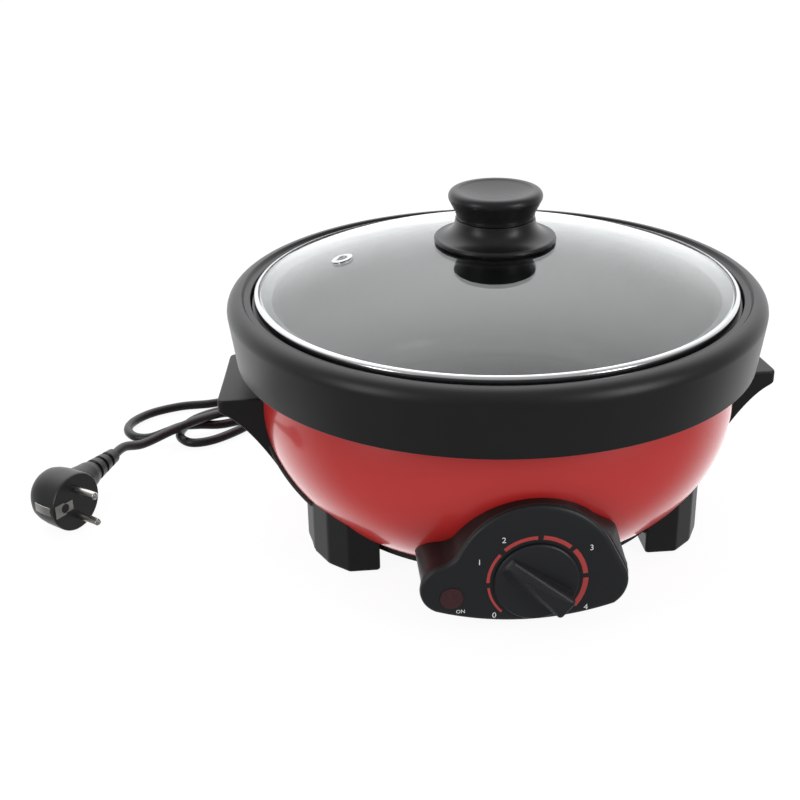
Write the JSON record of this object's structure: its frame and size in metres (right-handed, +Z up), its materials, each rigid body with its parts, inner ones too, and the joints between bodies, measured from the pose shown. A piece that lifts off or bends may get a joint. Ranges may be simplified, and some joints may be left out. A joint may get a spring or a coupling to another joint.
{
  "type": "electric hot pot",
  "caption": "Round electric hot pot with a hung pan, loose domed glass lid with knob, dial panel, side handles, feet and a coiled mains lead.",
  "frame": {"origin": "on the worktop under the pot's vertical axis, midway between the handles' ends and between the rim ring's back and the dial's front to within 2 mm", "axes": "+Z up, the control panel faces -Y, +X towards the right handle seen from the front"},
  "size_m": [0.4794, 0.3964, 0.2119],
  "materials": {
    "red_paint": "gloss",
    "black_plastic": "satin",
    "panel_plastic": "satin",
    "pan_coating": "satin non-stick coating",
    "lid_glass": "clear",
    "rim_steel": "polished",
    "screw_steel": "plain",
    "seal_rubber": "matte",
    "cord_rubber": "satin",
    "lens_plastic": "gloss",
    "lamp_glass": "clear",
    "cream_plastic": "matte",
    "heater_steel": "dull",
    "clamp_aluminium": "plain",
    "pin_nickel": "nickel plated",
    "earth_brass": "plain"
  },
  "bodies": {
    "pot": {"outer_bowl": "red_paint", "rim_ring": "black_plastic", "cooking_pan": "pan_coating", "base_cover": "black_plastic", "base_screws": "screw_steel", "foot_front_left": "black_plastic", "foot_front_right": "black_plastic", "foot_rear_left": "black_plastic", "foot_rear_right": "black_plastic", "foot_pads": "seal_rubber", "foot_screws": "screw_steel", "handle_left": "black_plastic", "handle_right": "black_plastic", "handle_screws": "screw_steel", "control_housing": "black_plastic", "control_fascia": "panel_plastic", "panel_screws": "screw_steel", "indicator_lens": "lens_plastic", "neon_lamp": "lamp_glass", "thermostat_body": "cream_plastic", "heating_element": "heater_steel", "element_clamps": "clamp_aluminium", "thermostat_sensor": "clamp_aluminium", "thermal_fuse": "clamp_aluminium", "terminal_block": "cream_plastic", "strain_relief": "cord_rubber", "mains_cord": "cord_rubber", "plug_body": "cord_rubber", "plug_pins": "pin_nickel", "plug_earth_contacts": "earth_brass"},
    "lid": {"lid_glass": "lid_glass", "lid_rim_band": "rim_steel", "vent_eyelet": "rim_steel", "knob_cap": "black_plastic", "knob_skirt": "black_plastic", "knob_washer": "seal_rubber", "knob_screw": "screw_steel"},
    "dial": {"control_dial": "panel_plastic", "thermostat_shaft": "screw_steel"}
  },
  "joints": [
    {"name": "lid_lift", "type": "slide", "parent": "pot", "child": "lid", "axis": [0, 0, 1], "range_m": [0, 0.15]},
    {"name": "dial_turn", "type": "hinge", "parent": "pot", "child": "dial", "pos_m": [0, -0.16, 0.0335], "axis": [0, -1, 0], "range_deg": [-185, 85]}
  ]
}
